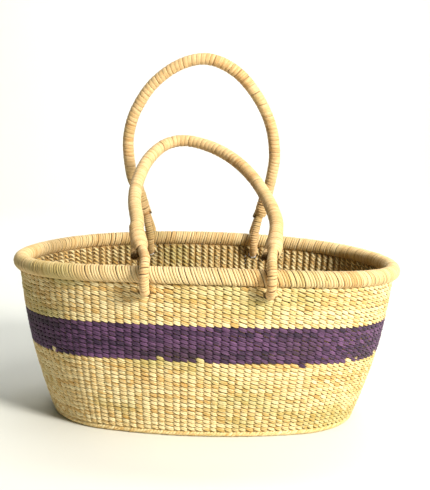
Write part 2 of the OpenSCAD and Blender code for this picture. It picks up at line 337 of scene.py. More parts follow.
def grass_group():
    """The shared look of dry grass."""
    group = bpy.data.node_groups.new("dry_grass", "ShaderNodeTree")
    for names, kind, way in (
        (("Pale", "Body", "Golden", "Green", "Gap"), "NodeSocketColor", "INPUT"),
        (("Gap darkness", "Fibres"), "NodeSocketFloat", "INPUT"),
        (("Color",), "NodeSocketColor", "OUTPUT"),
        (("Height", "Rough"), "NodeSocketFloat", "OUTPUT"),
    ):
        for name in names:
            group.interface.new_socket(name, in_out=way, socket_type=kind)
    given = add_node(group, "NodeGroupInput").outputs
    result = add_node(group, "NodeGroupOutput").inputs

    def plus(first, second):
        return maths(group, "ADD", first, second)

    def minus(first, second):
        return maths(group, "SUBTRACT", first, second)

    def times(first, second):
        return maths(group, "MULTIPLY", first, second)

    straw = add_node(group, "ShaderNodeAttribute", attribute_name="straw").outputs["Vector"]
    tone, _, depth = strand_facts(group)
    place = add_node(group, "ShaderNodeTexCoord").outputs["Object"]
    fibre = noise(group, straw, (28, 3.2, 3.2), detail=3.0, rough=0.65)
    hair = noise(group, straw, (70, 9, 9))
    patch = noise(group, straw, (22, 0.25, 0.25), detail=1.0)
    cloud = noise(group, place, (9, 9, 19.8))

    value = plus(plus(times(tone, 0.34), times(patch, 0.36)), 0.17)
    value = plus(value, times(times(minus(fibre, 0.5), given["Fibres"]), 1.5))
    body = mixed(group, stepped(group, value, 0.34, 0.74), given["Body"], given["Pale"])
    golden = times(stepped(group, minus(1.0, value), 0.50, 0.74), 0.85)
    body = mixed(group, golden, body, given["Golden"])
    green = stepped(group, plus(cloud, times(hair, 0.25)), 0.62, 0.86)
    body = mixed(group, times(green, 0.55), body, given["Green"])
    # Painted shade: where a strand lies deep in the weave, in a groove or in a slit between turns, the colour
    # is pulled towards the gap colour. The fine dark lines between fibres, mixed in next, are grain.
    dark = times(stepped(group, depth, 0.35, 1.05), given["Gap darkness"])
    hairline = times(stepped(group, minus(1.0, hair), 0.58, 0.78), 0.35)
    dark = maths(group, "MAXIMUM", dark, times(hairline, given["Fibres"]))
    feed(group, result["Color"], mixed(group, dark, body, given["Gap"]))
    feed(group, result["Height"], plus(fibre, times(hair, 0.5)))
    feed(group, result["Rough"], minus(0.78, times(fibre, 0.3)))
    return group


GRASS = grass_group()
print("dry_grass has", len(GRASS.nodes), "nodes")

# %% [markdown]
# ## Palettes
#
# The wall is pale straw with golden and greenish stalks in it, the rim and handles are a little warmer and
# smoother, and the violet dye took unevenly, with a brown stalk here and there. Each palette ends with a
# gap colour, the painted shade in folds and slits; on the violet it is nearly black.

# %% Make the finishes
def rgb(red, green, blue):
    """A colour from screen values 0 to 255, as the shader wants it."""
    screen = [c / 255 for c in (red, green, blue)]
    return (*[c / 12.92 if c <= 0.04 else ((c + 0.055) / 1.055) ** 2.4 for c in screen], 1)


def grass_look(tree, palette):
    """The grass group with one palette."""
    look = add_node(tree, "ShaderNodeGroup", node_tree=GRASS)
    for key, value in palette.items():
        look.inputs[key].default_value = value
    return look


def grass(name, palette, bump, dyed=None):
    """A material of dry grass. With a dyed palette too, the strand's share of dye picks between the two."""
    material = bpy.data.materials.new(name)
    material.use_nodes = True
    tree = material.node_tree
    shader = tree.nodes["Principled BSDF"].inputs
    look = grass_look(tree, palette)
    colour = look.outputs["Color"]
    if dyed:
        colour = mixed(tree, strand_facts(tree)["Y"], colour, grass_look(tree, dyed).outputs["Color"])
    raised = add_node(tree, "ShaderNodeBump")
    for name, given in (("Strength", 0.5), ("Distance", bump), ("Height", look.outputs["Height"])):
        feed(tree, raised.inputs[name], given)
    for name, given in (
        ("Base Color", colour),
        ("Roughness", look.outputs["Rough"]),
        ("Normal", raised.outputs["Normal"]),
        ("Specular IOR Level", 0.35),
        ("Sheen Weight", 0.08),
        ("Sheen Roughness", 0.5),
    ):
        feed(tree, shader[name], given)
    return material


def palette(pale, body, golden, green, gap, shade_strength, fibres=1.0):
    """The colours that one kind of grass is mixed from."""
    colours = {"Pale": pale, "Body": body, "Golden": golden, "Green": green, "Gap": gap}
    made = {name: rgb(*value) for name, value in colours.items()}
    return {**made, "Gap darkness": shade_strength, "Fibres": fibres}


# The fifth colour of each palette is painted shade for folds, grooves and slits, and the number after it says
# how strongly that shade is painted.
STRAW = palette((250, 232, 180), (224, 190, 120), (202, 150, 68), (172, 166, 84), (70, 50, 20), 0.94)
DYED = palette((112, 74, 114), (58, 31, 60), (32, 20, 44), (58, 42, 40), (10, 5, 11), 0.97)
STALK = palette((216, 186, 126), (180, 140, 76), (150, 104, 46), (132, 122, 60), (58, 40, 17), 0.85, 0.8)
WRAP = palette((231, 206, 156), (209, 174, 114), (188, 140, 76), (168, 158, 86), (60, 43, 17), 0.96, 0.9)
GRIP = palette((229, 197, 146), (212, 174, 118), (190, 140, 80), (184, 162, 98), (90, 60, 26), 0.90, 0.8)
FINISH = {
    "natural_grass": grass("natural_straw", STRAW, 0.5 * MM, dyed=DYED),
    "purple_grass": grass("violet_straw", STRAW, 0.5 * MM, dyed=DYED),
    "stake_grass": grass("stake_straw", STALK, 0.4 * MM),
    "rim_grass": grass("rim_straw", WRAP, 0.4 * MM),
    "handle_grass": grass("handle_straw", GRIP, 0.3 * MM),
}
print("finishes:", ", ".join(FINISH))

# %% [markdown]
# The bundles inside the rim and the shanks, and the stakes in the base, stay as the working model has them,
# because the windings hide nearly all of them. They only need the look of stalks for the slits between the
# turns.

# %% Dress the hidden bundles
for node in ("base_stakes", "rim_core", "front_shank_core", "back_shank_core"):
    bundle = frame["nodes"][node].data
    bundle.materials.clear()
    bundle.materials.append(FINISH["stake_grass"])
    print(node, "is dressed")

# %% [markdown]
# ## Unevenness
#
# Hand work wanders: rows rise and fall, and strands are fatter here than there. Plain random numbers would
# jump. A sum of a few slow waves drifts instead, and when whole waves fit round the oval it also closes
# without a step. Every draw comes from a seeded generator, so each run gives the same basket.

# %% A drift that closes round the oval
def drift(t, seed, slowest, fastest, waves=6):
    """A smooth random value about -1 to 1 that repeats after one round of STAKES."""
    draw = np.random.default_rng(seed)
    total = np.zeros(np.shape(t))
    for _ in range(waves):
        turns = draw.integers(slowest, fastest + 1)
        wave = np.sin(2 * math.pi * turns * t / STAKES + draw.uniform(0, 2 * math.pi))
        total += wave * draw.uniform(0.4, 1)
    return total / math.sqrt(waves) * 0.9


probe = drift(np.linspace(0, STAKES, 500), 1, 2, 30)
print("drift runs from", round(float(probe.min()), 2), "to", round(float(probe.max()), 2))

# %% [markdown]
# ## Strands
#
# One strand is two flattened straws lying together, so its section is tall, thin and waisted. The simplest
# way to lay such a section along a winding route is a curve with a bevel shape, and Z-up twist keeps its
# broad side against the wall. The curve becomes a mesh, and each point gets two attributes that the
# material reads: `straw` is its place along and around the strand, and `strand` is its tone, its dye, and
# how much painted shade it gets where it lies deep in the weave.

# %% Turn routes into strands
def outline_shape(name, points):
    """A closed bevel outline. On a level strand its first number points out of the wall, its second one up."""
    curve = bpy.data.curves.new(name, "CURVE")
    curve.dimensions = "2D"
    spline = curve.splines.new("POLY")
    spline.points.add(len(points) - 1)
    spline.points.foreach_set("co", np.array([(x, y, 0, 1) for x, y in points], float).ravel())
    spline.use_cyclic_u = True
    return bpy.data.objects.new(name, curve)


def two_straws(thick, tall):
    """Section of a strand: two straws, one above the other, with a groove between them on the outside."""
    t, h = thick / 2, tall / 2
    return [(0.66 * t, 0.80 * h), (t, 0.42 * h), (0.66 * t, 0), (t, -0.42 * h), (0.66 * t, -0.80 * h),
            (-0.5 * t, -0.9 * h), (-t, 0), (-0.5 * t, 0.9 * h)]


# Painted shade round a strand's section: none on the two ridges, a little at the outer edges and the middle of
# the back, strong in the groove between the straws, and most at the back edges, where the rows meet.
GROOVE_SHADE = np.array([0.2, 0.0, 0.8, 0.0, 0.2, 1.0, 0.2, 1.0])
UPPER_STRAW = np.array([1.0, 1.0, 0.0, -1.0, -1.0, -0.5, 0.0, 0.5])


def shown(name, mesh, body, slot, *nodes):
    """Adds a finished mesh as a piece that rides on a body and stands in for its working solids."""
    mesh.polygons.foreach_set("use_smooth", np.ones(len(mesh.polygons), bool))
    piece = bpy.data.objects.new(name, mesh)
    bpy.context.scene.collection.objects.link(piece)
    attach(piece, body)
    mesh.materials.append(FINISH[slot])
    if nodes:
        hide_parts(*nodes)
    print(f"{name}: {len(mesh.polygons)} faces")
    return piece


def face_outwards(mesh, weld=False):
    """Closes open ends, or welds them where they meet, and turns the faces so that they look out."""
    bm = bmesh.new()
    bm.from_mesh(mesh)
    if weld:
        open_ends = [v for v in bm.verts if v.is_boundary]
        bmesh.ops.remove_doubles(bm, verts=open_ends, dist=0.3 * MM)
    bmesh.ops.holes_fill(bm, edges=[e for e in bm.edges if e.is_boundary])
    bmesh.ops.recalc_face_normals(bm, faces=bm.faces[:])
    bm.to_mesh(mesh)
    bm.free()


def write_points(mesh, name, values):
    """Stores three numbers for each point of a mesh."""
    made = mesh.attributes.new(name, "FLOAT_VECTOR", "POINT")
    made.data.foreach_set("vector", np.ascontiguousarray(values, np.float32).ravel())


def strands(name, routes, section, closed=True):
    """One mesh of many strands. A route has points, width, tone, dye and painted shade, all along its length.
    """
    bevel = outline_shape(name + "_section", section)
    curve = bpy.data.curves.new(name + "_routes", "CURVE")
    curve.dimensions = "3D"
    curve.bevel_mode = "OBJECT"
    curve.bevel_object = bevel
    curve.twist_mode = "Z_UP"
    sides = len(section)
    groove = GROOVE_SHADE if sides == len(GROOVE_SHADE) else np.zeros(sides)
    upper = UPPER_STRAW if sides == len(GROOVE_SHADE) else np.zeros(sides)
    straw, strand = [], []
    around = 2 * math.pi * np.arange(sides) / sides
    for route in routes:
        points = route["points"]
        count = len(points)
        spline = curve.splines.new("POLY")
        spline.points.add(count - 1)
        corners = np.hstack([points, np.ones((count, 1))])
        spline.points.foreach_set("co", corners.astype(np.float32).ravel())
        for setting, key, usual in (("radius", "width", 1.0), ("tilt", "tilt", 0.0)):
            values = np.broadcast_to(route.get(key, usual), count)
            spline.points.foreach_set(setting, values.astype(np.float32))
        spline.use_cyclic_u = closed
        spline.use_smooth = True
        gaps = np.linalg.norm(np.diff(points, axis=0), axis=1)
        along = np.concatenate([[0], np.cumsum(gaps)]) + route["start"]
        ring = np.stack(np.broadcast_arrays(along[:, None], np.cos(around), np.sin(around)), -1)
        straw.append(ring.reshape(-1, 3))
        facts = [route.get(key, 0.0) for key in ("tone", "dye", "depth", "split")]
        tone, dye, depth, split = (np.broadcast_to(fact, count)[:, None] for fact in facts)
        tone = tone + upper * split
        depth = 1 - (1 - depth) * (1 - groove)
        strand.append(np.stack(np.broadcast_arrays(tone, dye, depth), -1).reshape(-1, 3))
    rope = bpy.data.objects.new(name + "_rope", curve)
    bpy.context.scene.collection.objects.link(rope)
    bpy.context.view_layer.update()
    view = bpy.context.evaluated_depsgraph_get()
    mesh = bpy.data.meshes.new_from_object(rope.evaluated_get(view))
    mesh.name = name
    for old in list(mesh.uv_layers):
        mesh.uv_layers.remove(old)
    bpy.data.objects.remove(rope)
    bpy.data.objects.remove(bevel)
    face_outwards(mesh)
    write_points(mesh, "straw", np.concatenate(straw))
    write_points(mesh, "strand", np.concatenate(strand))
    return mesh


print("a strand's section has", len(two_straws(1, 1)), "sides")

# %% [markdown]
# ## The twined rows
#
# Twining works with two strands at once. One passes in front of a stake and the other behind it, and
# between stakes they change places with half a twist. So each strand is a screw round the row's middle
# line, with one full turn for two stakes. It is not an even screw. Pulled tight, a strand dips behind its
# stake steeply and stays long on the outside, sloping down to the right. Every stitch is a slanting
# spindle, and where its ends tuck in they leave the small dark lens shapes that give such a basket its
# texture. Here the lenses are partly real gaps between the strands and partly painted shade where a strand
# tucks in.
#
# One stitch could be modelled and repeated, but repeats show. Here every row is drawn for itself, with its
# own drift in height, width and tone. All rows share part of the drift, so no gap opens.

# %% Route one pair of strands
PER_STAKE = 5
STRAND_T, STRAND_H = 2.7 * MM, 5.0 * MM
WEAVE_OUT = 2.2 * MM
WEAVE_UP = 2.6 * MM
DIP_FROM = 0.74
LEVEL = np.arange(STAKES * PER_STAKE) / PER_STAKE


def soft_step(value, low, high):
    """0 below low, 1 above high, and smooth between them."""
    share = np.clip((value - low) / (high - low), 0, 1)
    return share * share * (3 - 2 * share)


def stake_shift(t, z):
    """How far the stakes near t have wandered sideways at a height, counted in stakes."""
    swing = 0.5 + 0.5 * np.sin(z * 23 + 5 * drift(t, 77, 3, 9))
    return 0.09 * drift(t, 31, 30, 60) * swing + 0.09 * drift(t, 32, 30, 60) * (1 - swing)


def sag(t, z):
    """How high the rows stand off level: at the front, high left of the middle and low at the right end."""
    xy, _ = oval(t, 20 * MM)
    front = soft_step(-xy[..., 1], -30 * MM, 60 * MM)
    high_part = 1.7 * MM * np.exp(-(((xy[..., 0] + 62 * MM) / (60 * MM)) ** 2))
    low_part = 3.2 * MM * soft_step(xy[..., 0], 105 * MM, 200 * MM)
    return front * (high_part - low_part) * np.sin(math.pi * np.clip(z / rim_z, 0, 1)) ** 1.5


def wall(t, z, out, up):
    """Points of the wall: out and up are measured from its middle layer, square to it and along it."""
    lean = wall_lean(z)
    inset = wall_inset(z) + WALL_T / 2 - out * np.cos(lean) - up * np.sin(lean)
    xy, _ = oval(t, inset)
    height = dipped(xy, z + sag(t, z) - out * np.sin(lean) + up * np.cos(lean))
    return parted(np.concatenate([xy, height[..., None]], -1))


def grass_tones(seed, length):
    """Tone of a strand along its length: each straw lasts a few stitches, and the next has its own."""
    draw = np.random.default_rng(seed)
    cuts = np.sort(draw.uniform(0, STAKES, length))
    tones = draw.beta(1.7, 1.7, length + 1)
    return tones[np.searchsorted(cuts, LEVEL)]


def twined_row(number, z):
    """The two strands of one row."""
    lift = 0.55 * MM * drift(LEVEL, 500, 2, 7) * math.sin(z * 30)
    lift = lift + 0.30 * MM * drift(LEVEL, 900 + number, 3, 25)
    wander = stake_shift(LEVEL, z)
    routes = []
    for half in (0, 1):
        seed = 10 * number + half
        phase = (LEVEL + wander + 0.5 + half) % 2 - 1
        behind = soft_step(np.abs(phase), 0.33, 0.96)
        dipping = soft_step(np.abs(phase), DIP_FROM, 1.0)
        fall = np.clip(phase / DIP_FROM, -1, 1) * (1 - dipping)
        plump = 1 - 0.44 * soft_step(np.abs(phase), 0.10, DIP_FROM) + 0.66 * dipping
        out = WEAVE_OUT * (1 + 0.10 * drift(LEVEL, 2000 + seed, 20, 66)) * (1 - 2 * behind)
        up = lift - WEAVE_UP * fall + 0.22 * MM * drift(LEVEL, 3000 + seed, 20, 66)
        routes.append({
            "points": wall(LEVEL, z, out, up),
            "width": plump * (1 + 0.12 * drift(LEVEL, 4000 + seed, 8, 50)),
            "tilt": 0.16 * drift(LEVEL, 5000 + seed, 10, 40),
            "tone": grass_tones(6000 + seed, 34),
            "split": 0.16 * drift(LEVEL, 7000 + seed, 12, 60),
            "dye": dye_of(number, half),
            # Painted shade where the strand tucks in behind its stake: the dark lenses between stitches.
            "depth": 0.9 * soft_step(np.abs(phase), 0.38, 0.58) * (1 - soft_step(np.abs(phase), 0.60, 0.72)),
            "start": 3.0 * seed,
        })
    return routes


# %% [markdown]
# The rows are shared out so that each band of the wall has its own: natural, purple, natural. The coloured
# band does not begin cleanly, because the maker adds the dyed straws one at a time. So a few natural straws
# wander into its lowest row, and here and there a dyed one starts a row early. The lower band is two
# pieces, to keep each one light.

# %% Weave the wall
FOOT_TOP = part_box("foot_row")[1][2]
BAND_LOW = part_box("lower_weave")[1][2]
BAND_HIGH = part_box("purple_band")[1][2]
WALL_TOP = rim_z - ROLL_R * math.cos(math.pi / RIM_SIDES)
LOWER_ROWS, PURPLE_ROWS, UPPER_ROWS = 17, 8, 9


def row_heights(low, high, count):
    """Heights of the middles of evenly packed rows."""
    return low + (high - low) * (np.arange(count) + 0.5) / count


heights = np.concatenate([
    row_heights(FOOT_TOP, BAND_LOW, LOWER_ROWS),
    row_heights(BAND_LOW, BAND_HIGH, PURPLE_ROWS),
    row_heights(BAND_HIGH, WALL_TOP - 0.6 * MM, UPPER_ROWS),
])
BANDS = (
    ("wall_lower_rows_a", 0, 9, "natural_grass", ("lower_weave",)),
    ("wall_lower_rows_b", 9, LOWER_ROWS, "natural_grass", ()),
    ("wall_purple_rows", LOWER_ROWS, LOWER_ROWS + PURPLE_ROWS, "purple_grass", ("purple_band",)),
    ("wall_upper_rows", LOWER_ROWS + PURPLE_ROWS, len(heights), "natural_grass", ("upper_weave",)),
)
FIRST_DYED, FIRST_PLAIN = LOWER_ROWS, LOWER_ROWS + PURPLE_ROWS


def dye_of(number, half):
    """Dye round one strand: 1 in the band, and patchy at its lower edge, where the maker changes straws."""
    if FIRST_DYED < number < FIRST_PLAIN:
        return np.ones(len(LEVEL))
    patchy = drift(LEVEL, 8100 + 10 * number + half, 4, 22)
    if number == FIRST_DYED:
        return np.where(patchy + 1.05 - 0.4 * half > 0, 1.0, 0.0)
    if number == FIRST_DYED - 1:
        return np.where(patchy - 0.95 > 0, 1.0, 0.0)
    return np.zeros(len(LEVEL))


for name, first, last, slot, nodes in BANDS:
    routes = [r for k in range(first, last) for r in twined_row(k, heights[k])]
    mesh = strands(name, routes, two_straws(STRAND_T, STRAND_H))
    shown(name, mesh, "basket", slot, *nodes)

# %% [markdown]
# ## Stakes
#
# Each stake is a few stiff stalks side by side, pressed flat between the two strands of each row. Only
# glimpses of the stakes show in the gaps, but they keep daylight from shining through the wall, and the rim
# holds their tops. A flat six-sided strip is enough. It follows the same sideways wander as the stitches,
# or they would not sit on it, and it is squeezed narrow beside the loops.

# %% Stand the stakes in the wall
STAKE_WIDE, STAKE_THICK = 4.2 * MM, 0.9 * MM
STAKE_FOOT, IN_RIM = 4 * MM, 5 * MM
LOOP_ROOM = 5.8 * MM


def rod(radius, sides=6):
    """Section of a round rod."""
    turn = 2 * math.pi * np.arange(sides) / sides
    return [(radius * math.cos(a), radius * math.sin(a)) for a in turn]


def strip(wide, thick, sides=6):
    """Section of a flat strip: wide along the wall, and thin through it."""
    return [(wide * x, thick * y) for x, y in rod(1.0, sides)]


def squeezed(points):
    """Share of its width that a stake keeps: less beside a loop."""
    nearest = np.full(len(points), 1.0)
    for x, side, z in HOLES:
        away = np.hypot(points[:, 0] - x, points[:, 2] - z)
        near = points[:, 1] * side > 0.5 * HALF_W
        nearest = np.minimum(nearest, np.where(near, away, 1.0))
    return np.clip((nearest - LOOP_ROOM) / STAKE_WIDE, 0.3, 1.0)


def spread(number, z):
    """Half the distance to the next stake, as a share of STAKE_WIDE: stakes fan out as they rise."""
    arc = np.searchsorted(ARC_FIRST, number + 0.5, side="right") - 1
    between = ARC_SPAN[arc] * (ARC_RADIUS[arc] - wall_inset(z) - WALL_T / 2) / ARC_COUNT[arc]
    return 0.50 * between / STAKE_WIDE


def stake_route(number):
    """One upright stake: half way between two crossings of the strands."""
    z = np.linspace(STAKE_FOOT, WALL_TOP + IN_RIM, 26)
    start = np.full(len(z), number + 0.5)
    t = start - np.array([stake_shift(np.array([number + 0.5]), height)[0] for height in z])
    points = wall(t, z, np.zeros(len(z)), np.zeros(len(z)))
    return {
        "points": points,
        "width": squeezed(points) * spread(number, z),
        "tone": 0.25 + 0.5 * ((number * 37) % 11) / 11,
        # Painted shade over the whole stake, which lies behind the strands, so the glimpses between stitches
        # look dark.
        "depth": 0.52,
        "start": 0.3 * number,
    }


stake_routes = [stake_route(k) for k in range(STAKES)]
stake_mesh = strands("side_stakes_grass", stake_routes, strip(STAKE_WIDE, STAKE_THICK), closed=False)
shown("side_stakes_grass", stake_mesh, "basket", "stake_grass", "side_stakes")

# %% [markdown]
# ## Winding
#
# The rim and both handles are bundles of grass wound tightly with a flattened strand. A winding is a screw:
# one flat section, turned round an axis while it moves along it. So one turn is spun straight first, with
# Blender's spin operator and a step along the axis. It is then repeated and bent along its route. Each
# point keeps a note of where it lies on the flat section, so its turn is known before the bend. That makes
# it easy to press one turn deeper, to tilt it, or to make it paler than the next.

# %% Spin a straight winding
FLAT = np.array([(-0.56, 0.72), (-0.42, 0.91), (-0.17, 1.0), (0.17, 1.0), (0.42, 0.91), (0.56, 0.72)])
# Painted shade across the flat section: most at its two edges, in the slits between the turns, and none on the
# back of the strand.
FLAT_SLIT_SHADE = np.array([1.0, 0.40, 0.0, 0.0, 0.40, 1.0])


def one_turn(steps):
    """One turn of a flat section round the X axis: unit radius, and one unit of X from start to end."""
    bm = bmesh.new()
    ring = [bm.verts.new((x, 0, r)) for x, r in FLAT]
    edges = [bm.edges.new((ring[k - 1], ring[k])) for k in range(len(ring))]
    bmesh.ops.spin(
        bm, geom=ring + edges, axis=(1, 0, 0), angle=2 * math.pi, steps=steps, dvec=(1 / steps, 0, 0))
    mesh = bpy.data.meshes.new("one_turn")
    bm.to_mesh(mesh)
    bm.free()
    return mesh


def straight_winding(turns, steps):
    """Many turns in a row, joined end to end, with each point's place in the flat section."""
    mesh = one_turn(steps)
    sections = len(mesh.vertices) // len(FLAT)
    write_points(mesh, "section", np.tile(np.column_stack([FLAT, FLAT_SLIT_SHADE]), (sections, 1)))
    coil = bpy.data.objects.new("coil", mesh)
    bpy.context.scene.collection.objects.link(coil)
    repeat = coil.modifiers.new("turns", "ARRAY")
    repeat.count = turns
    repeat.use_relative_offset = False
    repeat.use_constant_offset = True
    repeat.constant_offset_displace = (1, 0, 0)
    repeat.use_merge_vertices = True
    repeat.merge_threshold = 0.002
    bpy.context.view_layer.update()
    view = bpy.context.evaluated_depsgraph_get()
    whole = bpy.data.meshes.new_from_object(coil.evaluated_get(view))
    bpy.data.objects.remove(coil)
    bpy.data.meshes.remove(mesh)
    return whole


# %% [markdown]
# Slow random waves along the strand make the turns crowd and stand out a little, as they do when grass is
# pulled round by hand. The strand is also renewed every few turns, so the tone jumps from one straw to the
# next.

# %% Bend a winding along a route
def travel(route, closed):
    """Length up to each point of a route, the whole length, and its direction at each point."""
    steps = np.linalg.norm(np.roll(route, -1, axis=0) - route, axis=1)
    place = np.concatenate([[0], np.cumsum(steps)[:-1]])
    whole = place[-1] + (steps[-1] if closed else 0)
    forward = np.roll(route, -1, axis=0) - np.roll(route, 1, axis=0)
    if not closed:
        forward[0], forward[-1] = route[1] - route[0], route[-1] - route[-2]
    return place, whole, forward / np.linalg.norm(forward, axis=1, keepdims=True)


def read_along(place, whole, values, s, closed):
    """Values given at the points of a route, read at lengths s."""
    if closed:
        place, values, s = np.append(place, whole), np.concatenate([values, values[:1]]), s % whole
    return np.stack([np.interp(s, place, values[:, k]) for k in range(values.shape[1])], -1)


def ripple(turn, seed, slowest=0.09, fastest=0.7, waves=9):
    """A smooth random value about -1 to 1 along a winding, counted in turns."""
    draw = np.random.default_rng(seed)
    total = 0
    for _ in range(waves):
        size, pace, start = draw.uniform(0.4, 1), draw.uniform(slowest, fastest), draw.uniform(0, 1)
        total = total + size * np.sin(2 * math.pi * (pace * turn + start))
    return total / math.sqrt(waves)


def straw_tones(turn, turns, seed, lasts=5.0):
    """Tone at each turn: one straw lasts a few turns, and single turns differ a little."""
    draw = np.random.default_rng(seed)
    cuts = np.sort(draw.uniform(0, turns, max(int(turns / lasts), 2)))
    straws = draw.beta(1.6, 1.6, len(cuts) + 1)
    single = draw.beta(2, 2, turns + 2)
    return 0.6 * straws[np.searchsorted(cuts, turn)] + 0.4 * single[np.round(turn).astype(int)]


def winding(name, route, across, pitch, radius, seed, closed=False, hand=1, steps=18, wide=1.0, loose=1.0,
            relief=1.5, slant=0.0, slits=1.0):
    """
    A wound strand along a route. across points to angle 0 at each point of the route. pitch, radius and wide
    are numbers or functions of the share of the way; wide stretches the section in the other direction.
    relief is how round the strand's back is, slant how far the strand leans on the outside, in turns, and
    slits how strong the painted shade in the slits between the turns is.
    """
    place, whole, forward = travel(route, closed)
    share = np.linspace(0, 1, 500)
    per_turn = pitch(share) if callable(pitch) else np.full(len(share), pitch)
    turn_at = np.concatenate([[0], np.cumsum((whole / (len(share) - 1)) / per_turn[1:])])
    turns = int(round(turn_at[-1]))
    turn_at *= turns / turn_at[-1]

    mesh = straight_winding(turns, steps)
    mesh.name = name
    count = len(mesh.vertices)
    flat = np.empty(count * 3, np.float32)
    mesh.attributes["section"].data.foreach_get("vector", flat)
    local, height, slit_shade = flat.reshape(-1, 3).T.astype(float)
    mesh.attributes.remove(mesh.attributes["section"])
    straight = np.empty(count * 3, np.float32)
    mesh.vertices.foreach_get("co", straight)
    turn = straight.reshape(-1, 3)[:, 0].astype(float) - local

    angle = hand * 2 * math.pi * turn
    shifted = turn + local + 0.15 * loose * ripple(turn, seed + 1) + slant * np.sin(angle)
    here = np.interp(shifted if closed else np.clip(shifted, 0, turns), turn_at, share)
    if closed:
        past_end = np.where(shifted > turns, shifted / turns - 1, 0)
        here = here + np.where(shifted < 0, shifted / turns, 0) + past_end
    at = here % 1 if closed else here
    turn_width = np.interp(at, share, per_turn)
    size = radius(at) if callable(radius) else np.full(count, radius)
    stretch = wide(at) if callable(wide) else wide
    size = size * (1 + 0.022 * loose * ripple(turn, seed + 2, 0.3, 1.1))
    size = size - (1 - height) * relief * turn_width
    middle = read_along(place, whole, route, here * whole, closed)
    ahead_by = read_along(place, whole, forward, here * whole, closed)
    side = read_along(place, whole, across, here * whole, closed)
    side -= ahead_by * (side * ahead_by).sum(1, keepdims=True)
    side /= np.linalg.norm(side, axis=1, keepdims=True)
    other = np.cross(ahead_by, side)
    points = middle + side * (size * np.cos(angle))[:, None]
    points = points + other * (size * np.sin(angle) * stretch)[:, None]

    mesh.vertices.foreach_set("co", points.astype(np.float32).ravel())
    mesh.update()
    tone = straw_tones(turn, turns, seed + 3)
    write_points(mesh, "straw", np.stack([turn * 2 * math.pi * 7 * MM, 2.0 * local, height * 4], -1))
    # The third number of strand is painted shade, strongest in the slits between the turns.
    write_points(mesh, "strand", np.stack([tone, np.zeros(count), slit_shade * slits], -1))
    face_outwards(mesh, weld=closed)
    print(f"{name}: {turns} turns, {count} points")
    return mesh


# %% [markdown]
# ## The rim
#
# The rim is a bundle that lies on the wall's top, wound so that every turn also grips the top row. Nearly
# 400 turns go round it, and each leans where it shows on the outside.

# %% Wind the rim
RIM_PITCH = 3.2 * MM


def rim_route(count=480):
    """The middle of the rim roll, and the direction out of the oval."""
    t = np.arange(count) * STAKES / count
    xy, out = oval(t, ROLL_R)
    line = np.concatenate([xy, dipped(xy, rim_z)[:, None]], -1)
    return line, np.concatenate([out, np.zeros((count, 1))], -1)


rim_line, rim_out = rim_route()
rim_mesh = winding(
    "rim_winding", rim_line, rim_out, RIM_PITCH, ROLL_R, seed=71, closed=True, slant=0.9, slits=1.25)
shown("rim_winding", rim_mesh, "basket", "rim_grass", "rim_binding")

# %% [markdown]
# ## The handles
#
# Each handle is one thick bundle bent into a bail. Near its ends the bundle is split, one strand goes round
# the rim as a loop, and a tighter winding closes the fork. Nothing on such a handle is straight: the front
# one's crown falls away to the right, and the back one leans to the left. An arc would look machine made,
# so the route is a short list of points with a smooth curve through them. They stand in the handle's own
# plane, with the line that the loops turn about at height 0.

# %% Lay out the handles
SHANK_R = 7.8 * MM
STRAND_R = 5.4 * MM
SPLICE_R = 9.5 * MM
SHANK_START, SPLICE_TOP = 46 * MM, 72 * MM
FORK_TOP = 44 * MM
EYE_FREE = math.radians(65)
LEAN = {"front": math.radians(56), "back": math.radians(10)}
SIDE = {"front": -1, "back": 1}
HANDS = [(name, hand) for name in SIDE for hand in ("left", "right")]
EYES = {"front": FRONT_X, "back": BACK_X}
SPLAY = {"front": (math.radians(-12), math.radians(6.5)), "back": (math.radians(-15), math.radians(13))}
CROWN = {
    "front": [
        (-82, 88), (-88, 122), (-88, 158), (-79, 204), (-60, 238), (-34, 250), (-2, 239),
        (28, 214), (52, 178), (69, 136), (78, 98),
    ],
    "back": [
        (-108, 88), (-113, 122), (-112, 150), (-102, 182), (-79, 217), (-44, 243), (-6, 251),
        (32, 235), (62, 202), (81, 164), (88, 124), (85, 92),
    ],
}


def stood_up(name, points):
    """Points of a handle's own frame, put on the basket."""
    points = np.asarray(points, float)
    hinge = joints[name + "_handle_swing"]["pos_m"]
    lean = SIDE[name] * LEAN[name]
    y = points[..., 1] * math.cos(lean) - points[..., 2] * math.sin(lean)
    z = points[..., 1] * math.sin(lean) + points[..., 2] * math.cos(lean)
    return np.stack([points[..., 0], hinge[1] + y, hinge[2] + z], -1)


def foot_point(name, hand, height):
    """Where a shank's middle line stands at a height near its foot."""
    k = 0 if hand == "left" else 1
    return (EYES[name][k] + height * math.tan(SPLAY[name][k]), 0, height)


def smooth(points, steps):
    """A smooth curve through points: each stretch also looks at the points before and after it."""
    points = np.asarray(points, float)
    padded = np.concatenate([[2 * points[0] - points[1]], points, [2 * points[-1] - points[-2]]])
    t = (np.arange(steps) / steps)[:, None]
    parts = []
    for a, b, c, d in zip(padded, padded[1:], padded[2:], padded[3:]):
        slope, bend, twist = c - a, 2 * a - 5 * b + 4 * c - d, 3 * b - a - 3 * c + d
        parts.append(0.5 * (2 * b + slope * t + bend * t**2 + twist * t**3))
    return np.concatenate(parts + [points[-1:]])


def shank_route(name):
    """The shank from one splice over the crown to the other, in the handle's own frame."""
    crown = [(x * MM, 0, z * MM) for x, z in CROWN[name]]
    ends = (SHANK_START, SPLICE_TOP)
    left, right = ([foot_point(name, hand, h) for h in ends] for hand in ("left", "right"))
    return smooth(left + crown + right[::-1], 8)


